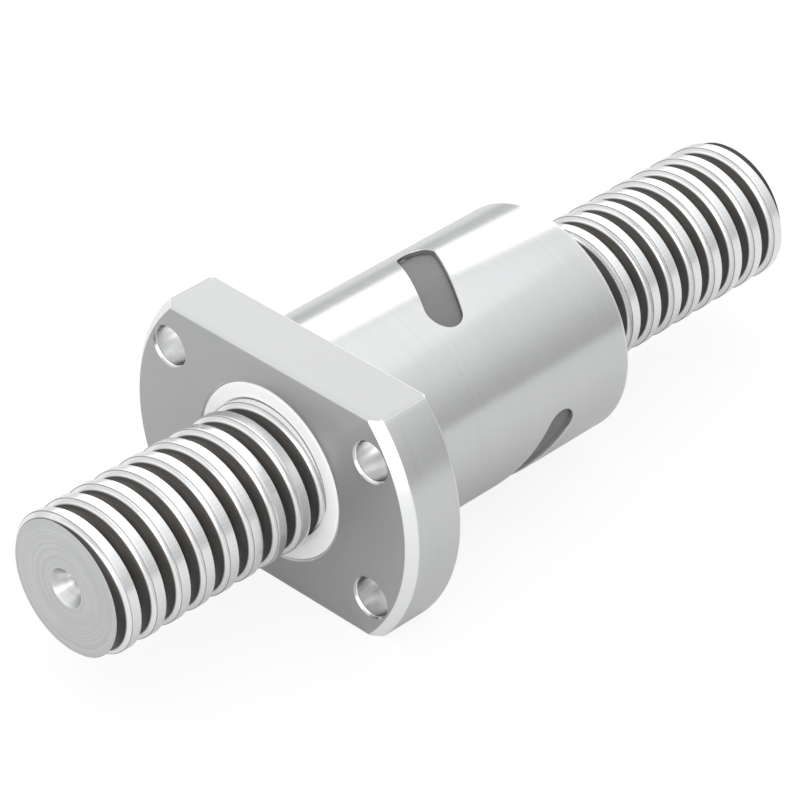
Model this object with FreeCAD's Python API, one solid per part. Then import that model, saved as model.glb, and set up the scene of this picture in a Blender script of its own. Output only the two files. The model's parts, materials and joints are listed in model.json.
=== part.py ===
import FreeCAD, Part
import math
import os
from FreeCAD import Vector

# A ball screw: a rolled screw shaft and a flanged nut that runs on three closed circuits of balls.
# Millimetres. X runs along the screw, Z is up, and the origin is on the axis, in the plane where the
# rear face of the flange meets a housing. An angle "phi" is measured about X from +Y towards +Z.

# Driving dimensions of the screw shaft
SCREW_D = 24.8            # outside of the thread lands
LEAD = 5.0                # travel in one turn, single start, right hand
SCREW_FRONT_X = -53.0     # the end in front of the flange
SCREW_LENGTH = 150.0
SCREW_END_CHAMFER = 1.0
CENTRE_HOLE_D = 3.15      # pilot of the 60 degree centre in each end
CENTRE_HOLE_DEPTH = 4.5
CENTRE_MOUTH_D = 6.7

# Balls and the gothic groove that they run in
BALL_D = 3.175
BALL_CIRCLE_D = 25.6      # diameter through the centres of the loaded balls
GROOVE_R = 1.72           # radius of each flank of the groove
GROOVE_SHIFT = 0.05       # how far each flank's centre lies past the ball's centre
GROOVE_SPAN = 86.0        # degrees of each flank, from the bottom of the groove
LEAST_BALL_GAP = 0.05
CIRCUITS = 3

# Nut
NUT_D = 40.0
NUT_LENGTH = 50.0         # behind the flange
NUT_END_CHAMFER = 0.6
NUT_BORE_D = 25.5
FLANGE_D = 62.0
FLANGE_THICKNESS = 11.0
FLANGE_FRONT_CHAMFER = 1.5
FLANGE_REAR_CHAMFER = 0.5
FLATS_APART = 40.5
FLAT_EDGE_BREAK = 0.3
BOLT_CIRCLE_D = 51.0
BOLT_HOLE_D = 6.6
BOLT_HOLE_ANGLE = 30.0    # of each bolt hole from the horizontal
HOLE_EDGE_BREAK = 0.4

# Lubrication port, in the rim of the flange
PORT_TAP_D = 5.0          # tapping size of M6
PORT_DEPTH = 8.0
PORT_MOUTH_CHAMFER = 0.6
PORT_X = -4.8
PASSAGE_D = 1.8

# Return deflectors, one for each circuit
DEFLECTOR_1_PHI = -28.0
DEFLECTOR_1_X = 17.1
RETURN_HALF_ANGLE = 27.0  # the balls leave and rejoin the thread this far from the deflector's middle
RETURN_LIFT = 1.45        # how far the deflector lifts the balls over the land of the screw
CHANNEL_R = 1.74
CHANNEL_STATIONS = 17
POCKET_WIDTH = 6.0
POCKET_LENGTH = 18.6      # through the wall
POCKET_HEAD_LENGTH = 21.0 # of the wider mouth that the deflector's head fills
POCKET_TILT = 29.0        # of the pocket's length from the circumference
POCKET_STEP_R = 16.6      # height of the ledge that the head rests on
DEFLECTOR_RECESS = 0.9    # from the nut's outside down to the deflector's back
INSERT_CLEARANCE = 0.05

# Wipers, and the wire rings and stop screws that keep them in the nut
WIPER_D = 30.2
WIPER_THICKNESS = 5.0
WIPER_MOUTH_CHAMFER = 0.3
LIP_CLEARANCE = 0.2       # between a wiper and the thread
RING_WIRE_D = 1.0
RING_CLEARANCE = 0.2      # all round the wire in its groove
RING_GAP_ANGLE = 14.0
RING_FROM_INNER_FACE = 1.1
STOP_D = 2.0
STOP_BITE = 0.9           # how far a stop screw enters its wiper
STOP_FROM_OUTER_FACE = 1.65
STOP_BELOW_SURFACE = 0.6
STOP_SOCKET_ACROSS = 0.9
STOP_SOCKET_DEPTH = 1.0
STOP_BEVEL = 0.25         # at both ends of a stop screw

# What follows from them
screw_r = SCREW_D / 2
screw_rear_x = SCREW_FRONT_X + SCREW_LENGTH
ball_r = BALL_D / 2
ball_circle_r = BALL_CIRCLE_D / 2
nut_r = NUT_D / 2
bore_r = NUT_BORE_D / 2
flange_r = FLANGE_D / 2
wiper_r = WIPER_D / 2
wiper_pocket_r = wiper_r + INSERT_CLEARANCE
circuit_step = LEAD + LEAD / CIRCUITS
thread_x = DEFLECTOR_1_X - LEAD / 2 - LEAD * DEFLECTOR_1_PHI / 360
past = 1.0                # how far a cutting solid passes the faces that it cuts


def along_x(shape):
    """Turn a solid built round Z so that it lies round X, with its angle 0 on +Y."""
    shape.rotate(Vector(0, 0, 0), Vector(1, 1, 1), 120)
    return shape


def round_bar(radius, x_start, x_end):
    return Part.makeCylinder(radius, x_end - x_start, Vector(x_start, 0, 0), Vector(1, 0, 0))


def radial_bar(radius, r_start, r_end, x, phi):
    """A round bar that points away from the axis at the angle phi."""
    out = Vector(0, math.cos(math.radians(phi)), math.sin(math.radians(phi)))
    return Part.makeCylinder(radius, r_end - r_start, Vector(x, 0, 0) + out * r_start, out)


def radial_cone(radius_in, radius_out, r_start, r_end, x, phi):
    out = Vector(0, math.cos(math.radians(phi)), math.sin(math.radians(phi)))
    base = Vector(x, 0, 0) + out * r_start
    return Part.makeCone(radius_in, radius_out, r_end - r_start, base, out)


def turned(outline):
    """Revolve an outline of (x, radius) corners round the axis."""
    corners = [Vector(x, 0, radius) for x, radius in outline]
    face = Part.Face(Part.makePolygon(corners + corners[:1]))
    return face.revolve(Vector(0, 0, 0), Vector(1, 0, 0), 360)


def torus_on_axis(ring_r, wire_r, x):
    return Part.makeTorus(ring_r, wire_r, Vector(x, 0, 0), Vector(1, 0, 0))


def groove_outline(flank_r, inward):
    """Gothic arch of two flanks in the XZ plane, closed past the groove's open side.

    The bottom of the arch points to the axis where inward is 1, and away from it where it is -1."""
    bottom_angle = math.asin(GROOVE_SHIFT / flank_r)
    middle_angle = math.radians(GROOVE_SPAN) / 2
    edge_angle = math.radians(GROOVE_SPAN)

    def point(side, angle):
        height = side * (flank_r * math.sin(angle) - GROOVE_SHIFT)
        return Vector(ball_circle_r - inward * flank_r * math.cos(angle), 0, height)

    bottom = point(1, bottom_angle)
    upper = Part.Arc(bottom, point(1, middle_angle), point(1, edge_angle)).toShape()
    lower = Part.Arc(point(-1, edge_angle), point(-1, middle_angle), bottom).toShape()
    open_side_r = ball_circle_r + inward * past
    upper_corner = Vector(open_side_r, 0, point(1, edge_angle).z)
    lower_corner = Vector(open_side_r, 0, point(-1, edge_angle).z)
    closing = Part.makePolygon([point(1, edge_angle), upper_corner, lower_corner, point(-1, edge_angle)])
    return Part.Wire([lower, upper] + closing.Edges)


def helical_groove(flank_r, inward, x_start, x_end):
    """The solid that a groove takes away between two places, with a turn to spare at each end."""
    first_turn = math.floor((x_start - thread_x) / LEAD) - 1
    turns = math.ceil((x_end - x_start) / LEAD) + 3
    helix = Part.makeLongHelix(LEAD, turns * LEAD, ball_circle_r, 0, False)
    sweep = Part.BRepOffsetAPI.MakePipeShell(Part.Wire(helix.Edges))
    sweep.setFrenetMode(True)
    sweep.add(groove_outline(flank_r, inward))
    sweep.build()
    sweep.makeSolid()
    groove = along_x(sweep.shape())
    groove.translate(Vector(thread_x + first_turn * LEAD, 0, 0))
    return groove


def threaded_bar(radius, flank_r, x_start, x_end):
    """A bar with the ball thread in it, as the screw has, or larger for the hole of a wiper."""
    groove = helical_groove(flank_r, 1, x_start, x_end)
    return round_bar(radius, x_start, x_end).cut(groove)


def centre_hole(x_face, direction):
    """The 60 degree centre that holds a shaft's end in a lathe."""
    mouth_r = CENTRE_MOUTH_D / 2
    pilot_r = CENTRE_HOLE_D / 2
    cone_depth = (mouth_r - pilot_r) / math.tan(math.radians(30))
    outline = [(x_face - direction * past, 0),
               (x_face - direction * past, mouth_r),
               (x_face, mouth_r),
               (x_face + direction * cone_depth, pilot_r),
               (x_face + direction * CENTRE_HOLE_DEPTH, pilot_r),
               (x_face + direction * CENTRE_HOLE_DEPTH, 0)]
    return turned(outline)


def screw_shaft():
    bevel = SCREW_END_CHAMFER
    blank = turned([(SCREW_FRONT_X, 0), (SCREW_FRONT_X, screw_r - bevel), (SCREW_FRONT_X + bevel, screw_r),
                    (screw_rear_x - bevel, screw_r), (screw_rear_x, screw_r - bevel), (screw_rear_x, 0)])
    blank = blank.cut([centre_hole(SCREW_FRONT_X, 1), centre_hole(screw_rear_x, -1)])
    return blank.cut(helical_groove(GROOVE_R, 1, SCREW_FRONT_X, screw_rear_x))


def circuit_place(number):
    """Angle and position of the middle of a circuit's deflector."""
    return DEFLECTOR_1_PHI + number * 360 / CIRCUITS, DEFLECTOR_1_X + number * circuit_step


def return_point(number, step):
    """Ball centre in a deflector, as step goes from -1 at one end of the channel to 1 at the other."""
    phi_middle, x_middle = circuit_place(number)
    phi = math.radians(phi_middle + step * RETURN_HALF_ANGLE)
    x_span = LEAD / 2 - LEAD * RETURN_HALF_ANGLE / 360
    x = x_middle - x_span * (3 * step - step ** 3) / 2
    radius = ball_circle_r + RETURN_LIFT * (1 - step ** 6) ** 2
    return Vector(x, radius * math.cos(phi), radius * math.sin(phi))


def thread_point(number, turned_by):
    """Ball centre on a circuit's thread, turned_by degrees after the middle of its deflector."""
    phi_middle, x_middle = circuit_place(number)
    phi = math.radians(phi_middle + turned_by)
    x = x_middle - LEAD / 2 + LEAD * turned_by / 360
    return Vector(x, ball_circle_r * math.cos(phi), ball_circle_r * math.sin(phi))


def channel_section(number, step):
    """Arch across the return channel: a half circle over the ball, and straight sides down to the bore."""
    small = 0.01
    before = return_point(number, max(step - small, -1))
    after = return_point(number, min(step + small, 1))
    middle = return_point(number, step)
    outward = Vector(0, middle.y, middle.z).normalize()
    ahead = after - before
    ahead = (ahead - outward * ahead.dot(outward)).normalize()
    across = outward.cross(ahead)
    depth = middle.dot(outward) - bore_r + past
    left, right = middle - across * CHANNEL_R, middle + across * CHANNEL_R
    arch = Part.Arc(left, middle + outward * CHANNEL_R, right).toShape()
    sides = Part.makePolygon([right, right - outward * depth, left - outward * depth, left])
    return Part.Wire([arch] + sides.Edges)


def return_channel(number):
    """The S-shaped channel that leads the balls over one land, back to the start of their turn."""
    steps = [2 * i / (CHANNEL_STATIONS - 1) - 1 for i in range(CHANNEL_STATIONS)]
    return Part.makeLoft([channel_section(number, step) for step in steps], True, False)


def obround(number, width, length, r_start, r_end):
    """A long hole's solid with round ends, tilted across the thread and pointing away from the axis."""
    phi, x = circuit_place(number)
    half_straight = (length - width) / 2
    half = width / 2
    corners = [Vector(-half_straight, -half, 0), Vector(half_straight, -half, 0),
               Vector(half_straight, half, 0), Vector(-half_straight, half, 0)]
    right_end = Part.Arc(corners[1], Vector(half_straight + half, 0, 0), corners[2]).toShape()
    left_end = Part.Arc(corners[3], Vector(-half_straight - half, 0, 0), corners[0]).toShape()
    straight = [Part.makeLine(corners[0], corners[1]), Part.makeLine(corners[2], corners[3])]
    outline = Part.Wire([straight[0], right_end, straight[1], left_end])
    solid = Part.Face(outline).extrude(Vector(0, 0, r_end - r_start))
    solid.translate(Vector(0, 0, r_start))
    # local x follows the circumference and local y the axis once the solid stands on +Z
    solid.rotate(Vector(0, 0, 0), Vector(0, 0, 1), 90 - POCKET_TILT)
    solid.rotate(Vector(0, 0, 0), Vector(1, 0, 0), phi - 90)
    solid.translate(Vector(x, 0, 0))
    return solid


def pocket(number):
    through = obround(number, POCKET_WIDTH, POCKET_LENGTH, bore_r - 3 * past, nut_r + past)
    mouth = obround(number, POCKET_WIDTH, POCKET_HEAD_LENGTH, POCKET_STEP_R, nut_r + past)
    return through.fuse(mouth)


def deflector(number):
    slack = 2 * INSERT_CLEARANCE
    width = POCKET_WIDTH - slack
    stem = obround(number, width, POCKET_LENGTH - slack, bore_r - 3 * past, nut_r)
    head = obround(number, width, POCKET_HEAD_LENGTH - slack, POCKET_STEP_R, nut_r)
    phi, x = circuit_place(number)
    wall = round_bar(nut_r - DEFLECTOR_RECESS, x - POCKET_HEAD_LENGTH, x + POCKET_HEAD_LENGTH)
    wall = wall.cut(round_bar(bore_r, x - POCKET_HEAD_LENGTH, x + POCKET_HEAD_LENGTH))
    insert = stem.fuse(head).common(wall)
    groove = helical_groove(GROOVE_R, -1, x - 2 * LEAD, x + 2 * LEAD)
    return insert.cut([groove, return_channel(number)])


def ring_groove(x):
    return torus_on_axis(wiper_r, RING_WIRE_D / 2 + RING_CLEARANCE, x)


def lock_ring(x):
    """Open wire ring, loose in the groove that the wiper shares with the nut."""
    ring = torus_on_axis(wiper_r, RING_WIRE_D / 2, x)
    reach = wiper_r + past
    half_gap = math.radians(RING_GAP_ANGLE) / 2
    corners = [Vector(x - past, 0, 0),
               Vector(x - past, reach * math.sin(half_gap), -reach * math.cos(half_gap)),
               Vector(x - past, -reach * math.sin(half_gap), -reach * math.cos(half_gap))]
    wedge = Part.Face(Part.makePolygon(corners + corners[:1])).extrude(Vector(2 * past, 0, 0))
    return ring.cut(wedge)


front_outer_x = -FLANGE_THICKNESS
front_inner_x = front_outer_x + WIPER_THICKNESS
rear_outer_x = NUT_LENGTH
rear_inner_x = rear_outer_x - WIPER_THICKNESS
front_ring_x = front_inner_x - RING_FROM_INNER_FACE
rear_ring_x = rear_inner_x + RING_FROM_INNER_FACE
front_stop_x = front_outer_x + STOP_FROM_OUTER_FACE
rear_stop_x = rear_outer_x - STOP_FROM_OUTER_FACE
front_stop_mouth_r = FLATS_APART / 2
rear_stop_mouth_r = nut_r
stop_tip_r = wiper_r - STOP_BITE
down = -90


def stop_hole(x, mouth_r):
    return radial_bar(STOP_D / 2 + INSERT_CLEARANCE, stop_tip_r - INSERT_CLEARANCE, mouth_r + past, x, down)


def stop_screw(x, mouth_r):
    """Headless screw with a hexagon socket; its tip keeps a wiper from turning with the shaft."""
    radius = STOP_D / 2
    back_r = mouth_r - STOP_BELOW_SURFACE
    outline = [Vector(0, 0, stop_tip_r), Vector(radius - STOP_BEVEL, 0, stop_tip_r),
               Vector(radius, 0, stop_tip_r + STOP_BEVEL), Vector(radius, 0, back_r - STOP_BEVEL),
               Vector(radius - STOP_BEVEL, 0, back_r), Vector(0, 0, back_r)]
    screw = Part.Face(Part.makePolygon(outline + outline[:1])).revolve(Vector(0, 0, 0), Vector(0, 0, 1), 360)
    corner_r = STOP_SOCKET_ACROSS / math.sqrt(3)
    hexagon = [Vector(corner_r * math.cos(math.radians(60 * i)), corner_r * math.sin(math.radians(60 * i)),
                      back_r - STOP_SOCKET_DEPTH) for i in range(7)]
    screw = screw.cut(Part.Face(Part.makePolygon(hexagon)).extrude(Vector(0, 0, STOP_SOCKET_DEPTH + past)))
    screw.rotate(Vector(0, 0, 0), Vector(1, 0, 0), down - 90)
    screw.translate(Vector(x, 0, 0))
    return screw


def wiper(x_start, x_end, ring_x, stop_x, stop_mouth_r):
    """Plastic ring whose hole is the thread's own form, so that its lip lies in the groove."""
    hole = threaded_bar(screw_r + LIP_CLEARANCE, GROOVE_R - LIP_CLEARANCE, x_start - past, x_end + past)
    return round_bar(wiper_r, x_start, x_end).cut([hole, ring_groove(ring_x), stop_hole(stop_x, stop_mouth_r)])


# The nut is turned from one piece of steel. It is modelled as its flange and its body, which meet face to
# face in the plane of the flange's rear face, where the housing starts.
wiper_mouth_r = wiper_pocket_r + WIPER_MOUTH_CHAMFER


def flange_blank():
    """Flange, bore and front wiper pocket as they leave the lathe, with the two flats milled."""
    blank = turned([(front_outer_x, wiper_mouth_r),
                    (front_outer_x, flange_r - FLANGE_FRONT_CHAMFER),
                    (front_outer_x + FLANGE_FRONT_CHAMFER, flange_r),
                    (-FLANGE_REAR_CHAMFER, flange_r),
                    (0, flange_r - FLANGE_REAR_CHAMFER),
                    (0, bore_r),
                    (front_inner_x, bore_r),
                    (front_inner_x, wiper_pocket_r),
                    (front_outer_x + WIPER_MOUTH_CHAMFER, wiper_pocket_r)])
    flat_z = FLATS_APART / 2
    front = front_outer_x - past
    outside = flange_r + past
    milled = []
    for side in (1, -1):
        outline = [Vector(front, -outside, side * (flat_z - FLAT_EDGE_BREAK - past)),
                   Vector(front_outer_x + FLAT_EDGE_BREAK, -outside, side * flat_z),
                   Vector(0, -outside, side * flat_z),
                   Vector(0, -outside, side * outside),
                   Vector(front, -outside, side * outside)]
        milled.append(Part.Face(Part.makePolygon(outline + outline[:1])).extrude(Vector(0, 2 * outside, 0)))
    return blank.cut(milled)


def bolt_hole(y, z):
    hole_r = BOLT_HOLE_D / 2
    wide_r = hole_r + HOLE_EDGE_BREAK
    outline = [(front_outer_x - past, 0),
               (front_outer_x - past, wide_r),
               (front_outer_x, wide_r),
               (front_outer_x + HOLE_EDGE_BREAK, hole_r),
               (past, hole_r),
               (past, 0)]
    hole = turned(outline)
    hole.translate(Vector(0, y, z))
    return hole


def bolt_holes():
    circle_r = BOLT_CIRCLE_D / 2
    angle = math.radians(BOLT_HOLE_ANGLE)
    y, z = circle_r * math.cos(angle), circle_r * math.sin(angle)
    return [bolt_hole(side_y * y, side_z * z) for side_y in (1, -1) for side_z in (1, -1)]


def lubrication_port():
    """Tapped mouth in the rim, and the passage from it into the bore behind the front wiper."""
    tap_r = PORT_TAP_D / 2
    mouth = radial_bar(tap_r, flange_r - PORT_DEPTH, flange_r + past, PORT_X, 0)
    bevel = radial_cone(tap_r, tap_r + PORT_MOUTH_CHAMFER + past, flange_r - PORT_MOUTH_CHAMFER,
                        flange_r + past, PORT_X, 0)
    passage = radial_bar(PASSAGE_D / 2, bore_r - past, flange_r - PORT_DEPTH + past, PORT_X, 0)
    return mouth.fuse([bevel, passage])


def nut_flange():
    cuts = bolt_holes() + [lubrication_port(), ring_groove(front_ring_x),
                           stop_hole(front_stop_x, front_stop_mouth_r)]
    return flange_blank().cut(cuts).cut(helical_groove(GROOVE_R, -1, front_inner_x, 0))


def nut_body():
    blank = turned([(0, bore_r),
                    (0, nut_r),
                    (rear_outer_x - NUT_END_CHAMFER, nut_r),
                    (rear_outer_x, nut_r - NUT_END_CHAMFER),
                    (rear_outer_x, wiper_mouth_r),
                    (rear_outer_x - WIPER_MOUTH_CHAMFER, wiper_pocket_r),
                    (rear_inner_x, wiper_pocket_r),
                    (rear_inner_x, bore_r)])
    cuts = [ring_groove(rear_ring_x), stop_hole(rear_stop_x, rear_stop_mouth_r)]
    for number in range(CIRCUITS):
        cuts += [pocket(number), return_channel(number)]
    return blank.cut(cuts).cut(helical_groove(GROOVE_R, -1, 0, rear_inner_x))


def circuit_balls(number):
    """Centres of a circuit's balls, evenly spaced round its closed path: on the thread, in the return."""
    samples = 720
    half = RETURN_HALF_ANGLE
    path = [(thread_point(number, half + (360 - 2 * half) * i / samples), False) for i in range(samples)]
    path += [(return_point(number, 2 * i / samples - 1), True) for i in range(samples)]
    lengths = [path[i][0].distanceToPoint(path[(i + 1) % len(path)][0]) for i in range(len(path))]
    total = sum(lengths)
    count = int(total / (BALL_D + LEAST_BALL_GAP))
    loaded, returning = [], []
    # the first ball is at the top of the return, and the others follow it at even distances
    travelled = sum(lengths[:samples + samples // 2])
    for ball in range(count):
        place = (travelled + ball * total / count) % total
        i = 0
        while place > lengths[i]:
            place -= lengths[i]
            i += 1
        ahead = path[(i + 1) % len(path)][0]
        centre = path[i][0] + (ahead - path[i][0]) * (place / lengths[i])
        (returning if path[i][1] else loaded).append(centre)
    return loaded, returning


def balls(centres):
    return Part.makeCompound([Part.makeSphere(ball_r, centre) for centre in centres])


def write(name, shape):
    solids = shape.Solids
    if len(solids) == 1:
        shape = solids[0]
    shape.exportStep("parts/" + name + ".step")
    volume = sum(solid.Volume for solid in solids)
    print(name, len(solids), "solids", round(volume, 1), "mm3", "valid" if shape.isValid() else "NOT VALID")


os.makedirs("parts", exist_ok=True)
write("nut_flange", nut_flange())
write("nut_body", nut_body())
write("screw_shaft", screw_shaft())
for number in range(CIRCUITS):
    label = str(number + 1)
    loaded, returning = circuit_balls(number)
    write("deflector_" + label, deflector(number))
    write("circuit_" + label + "_load_balls", balls(loaded))
    write("circuit_" + label + "_return_balls", balls(returning))
write("front_wiper", wiper(front_outer_x, front_inner_x, front_ring_x, front_stop_x, front_stop_mouth_r))
write("rear_wiper", wiper(rear_inner_x, rear_outer_x, rear_ring_x, rear_stop_x, rear_stop_mouth_r))
write("front_lock_ring", lock_ring(front_ring_x))
write("rear_lock_ring", lock_ring(rear_ring_x))
write("front_stop_screw", stop_screw(front_stop_x, front_stop_mouth_r))
write("rear_stop_screw", stop_screw(rear_stop_x, rear_stop_mouth_r))
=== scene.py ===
# %% [markdown]
# A ball screw, dressed for its photograph.
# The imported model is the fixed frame: it says where each piece is and which body carries it.
# Everything below is in metres, in that same frame: X runs along the screw and Z is up.

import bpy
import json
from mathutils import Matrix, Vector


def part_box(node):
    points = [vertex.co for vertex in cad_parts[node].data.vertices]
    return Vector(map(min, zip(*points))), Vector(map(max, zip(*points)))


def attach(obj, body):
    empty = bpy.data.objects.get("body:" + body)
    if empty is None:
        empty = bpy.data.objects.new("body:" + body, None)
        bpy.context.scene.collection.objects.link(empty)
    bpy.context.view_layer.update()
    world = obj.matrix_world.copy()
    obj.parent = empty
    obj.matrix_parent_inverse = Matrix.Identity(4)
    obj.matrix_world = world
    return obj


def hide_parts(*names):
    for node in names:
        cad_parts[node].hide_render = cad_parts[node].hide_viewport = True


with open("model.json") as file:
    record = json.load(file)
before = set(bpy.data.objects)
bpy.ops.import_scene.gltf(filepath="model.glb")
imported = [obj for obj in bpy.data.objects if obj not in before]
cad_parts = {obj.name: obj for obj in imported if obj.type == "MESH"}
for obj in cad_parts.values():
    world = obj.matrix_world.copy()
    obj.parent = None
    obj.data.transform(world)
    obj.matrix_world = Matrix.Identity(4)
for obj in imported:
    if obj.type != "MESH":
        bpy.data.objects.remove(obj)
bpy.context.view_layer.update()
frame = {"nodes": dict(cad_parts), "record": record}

# %% [markdown]
# Sizes come first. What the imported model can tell, such as the flange's outside or the bolt circle,
# is read from it. The thread's own figures are named here, because a bounding box can't hold them.
# FIRST_PHI and FIRST_X say where the first deflector sits, as an angle in degrees from +Y and as a
# place along the axis. THREAD_X follows from them: there the middle of the groove passes +Y.

# %% Read the sizes
import json
import math

import bmesh
import bpy
from mathutils import Matrix, Vector

MM = 0.001

flange_low, flange_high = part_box("nut_flange")
body_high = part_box("nut_body")[1]
screw_low, screw_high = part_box("screw_shaft")
stop_low, stop_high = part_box("front_stop_screw")
mounts = {mount["name"]: mount for mount in frame["record"]["mounts"]}


def middle_x(node):
    low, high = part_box(node)
    return (low.x + high.x) / 2


nut_front = flange_low.x
nut_rear = body_high.x
flange_r = flange_high.y
flat_z = flange_high.z
stop_r = (stop_high.x - stop_low.x) / 2
stop_tip_r = -stop_high.z
body_r = mounts["nut_pilot"]["dims"]["r_mm"] * MM
bolt_r = mounts["flange_bolts"]["dims"]["hole_r_mm"] * MM
bolt_y = mounts["flange_bolts"]["dims"]["spacing_x_mm"] * MM / 2
bolt_z = mounts["flange_bolts"]["dims"]["spacing_y_mm"] * MM / 2
port_x = mounts["lubrication_port"]["pos_m"][0]
port_r = mounts["lubrication_port"]["dims"]["r_mm"] * MM
screw_r = screw_high.y

LEAD = 5 * MM
BALL_CIRCLE_R = 12.8 * MM
GROOVE_R = 1.72 * MM
GROOVE_SHIFT = 0.05 * MM
NUT_BORE_R = 12.75 * MM
CIRCUITS = 3
FIRST_PHI = -28
FIRST_X = 17.1 * MM
THREAD_X = FIRST_X - LEAD / 2 - LEAD * FIRST_PHI / 360
print("flange", round(flange_r / MM, 2), "flats", round(flat_z / MM, 2), "screw", round(screw_r / MM, 2))

# %% [markdown]
# Two small classes carry all the node work in this file.
# A Wire is a socket that can be added, multiplied and so on, and each operator adds a Math node.
# A Bench is a node tree with one method that makes any node, sets it and links it.

# %% Sockets with arithmetic
class Wire:
    """The output of a node, with arithmetic."""

    def __init__(self, bench, socket):
        self.bench = bench
        self.socket = socket

    def maths(self, operation, *others):
        """Add a Math node that takes this socket first, and then the other sockets or numbers."""
        inputs = dict(enumerate((self, *others)))
        return self.bench.node("ShaderNodeMath", {"operation": operation}, inputs)

    def __add__(self, other):
        return self.maths("ADD", other)

    def __sub__(self, other):
        return self.maths("SUBTRACT", other)

    def __rsub__(self, other):
        return self.bench.node("ShaderNodeMath", {"operation": "SUBTRACT"}, {0: other, 1: self})

    def __mul__(self, other):
        return self.maths("MULTIPLY", other)

    def __truediv__(self, other):
        return self.maths("DIVIDE", other)

    def __mod__(self, other):
        return self.maths("FLOORED_MODULO", other)

    __radd__ = __add__
    __rmul__ = __mul__


class Bench:
    """A node tree, and the one method that adds nodes to it."""

    def __init__(self, tree):
        self.tree = tree

    def node(self, kind, settings=None, inputs=None, output=0):
        made = self.tree.nodes.new(kind)
        for name, value in (settings or {}).items():
            setattr(made, name, value)
        for key, value in (inputs or {}).items():
            if isinstance(value, Wire):
                self.tree.links.new(value.socket, made.inputs[key])
            else:
                made.inputs[key].default_value = value
        return Wire(self, made.outputs[output])

    def step(self, value, low, high):
        """0 below low, 1 above high, and a soft ramp between them."""
        settings = {"interpolation_type": "SMOOTHSTEP"}
        return self.node("ShaderNodeMapRange", settings, {0: value, 1: low, 2: high})


# %% [markdown]
# One helper puts a mesh into the scene as an object, and another joins rings of points into a skin.
# A turned piece is such a skin round the X axis. Its outline can have rounded corners, which catch
# the light as a real broken edge does. Cuts are booleans whose result is kept as a plain mesh.

# %% Helpers for meshes
SEGMENTS = 256
SHARP_FROM = 32


def new_object(name, mesh):
    made = bpy.data.objects.new(name, mesh)
    bpy.context.scene.collection.objects.link(made)
    return made


def skin(name, rings, closed):
    """Join rings of equally many points. A ring of one point is a pole."""
    work = bmesh.new()
    rows = [[work.verts.new(point) for point in ring] for ring in rings]
    pairs = list(zip(rows, rows[1:]))
    if closed:
        pairs.append((rows[-1], rows[0]))
    for near, far in pairs:
        count = max(len(near), len(far))
        for i in range(count):
            j = (i + 1) % count
            corners = [near[i % len(near)], near[j % len(near)], far[j % len(far)], far[i % len(far)]]
            work.faces.new(list(dict.fromkeys(corners)))
    bmesh.ops.recalc_face_normals(work, faces=work.faces)
    mesh = bpy.data.meshes.new(name)
    work.to_mesh(mesh)
    work.free()
    return new_object(name, mesh)


def circle(x, radius, segments=SEGMENTS):
    if radius == 0:
        return [(x, 0, 0)]
    turns = [2 * math.pi * i / segments for i in range(segments)]
    return [(x, radius * math.cos(turn), radius * math.sin(turn)) for turn in turns]


def turned(name, outline, closed, segments=SEGMENTS):
    return skin(name, [circle(x, radius, segments) for x, radius in outline], closed)


def softened(corners, closed, steps=4):
    """Round the corners of an outline of (x, radius, how far the rounding reaches from the corner)."""
    outline = []
    last = len(corners) - 1
    for i, (x, radius, reach) in enumerate(corners):
        here = Vector((x, radius))
        if reach == 0 or (not closed and i in (0, last)):
            outline.append(tuple(here))
            continue
        before = Vector(corners[i - 1][:2])
        after = Vector(corners[(i + 1) % len(corners)][:2])
        start = here + (before - here).normalized() * reach
        end = here + (after - here).normalized() * reach
        for step in range(steps + 1):
            t = step / steps
            outline.append(tuple(start * (1 - t) ** 2 + here * 2 * t * (1 - t) + end * t ** 2))
    return outline


def settled(piece, name):
    """Turn what the modifiers make of a piece into a plain mesh in their place."""
    graph = bpy.context.evaluated_depsgraph_get()
    mesh = bpy.data.meshes.new_from_object(piece.evaluated_get(graph))
    piece.modifiers.clear()
    piece.data = mesh
    piece.name = name
    return piece


def carved(piece, operation, tool):
    """Cut a piece with a tool, or keep only what both share, and throw the tool away."""
    change = piece.modifiers.new(tool.name, "BOOLEAN")
    change.operation = operation
    change.object = tool
    change.solver = "EXACT"
    settled(piece, piece.name)
    bpy.data.objects.remove(tool)
    return piece


def smoothed(piece, degrees=SHARP_FROM):
    """Shade a piece smooth, with edges that turn by more than so many degrees kept sharp."""
    piece.data.polygons.foreach_set("use_smooth", [True] * len(piece.data.polygons))
    piece.data.set_sharp_from_angle(angle=math.radians(degrees))
    return piece


# %% [markdown]
# The thread is the main form of this object, and it follows a rule: the outline of one pitch,
# repeated along the axis and sheared so that one turn moves it on by one lead.
# A Geometry Nodes tree does that to any outline, so the screw, the nut, the wipers and the tapped
# port all share it. Each grid point looks up its place in the outline with Sample Index. A hair is
# added before rounding down, so that a whole number can't fall one short.

# %% Thread by a rule
ROUNDING_HAIR = 0.0001
WELD_DISTANCE = 0.001 * MM
TURNS_BEFORE = 2
TURNS_SPARE = 5


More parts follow.
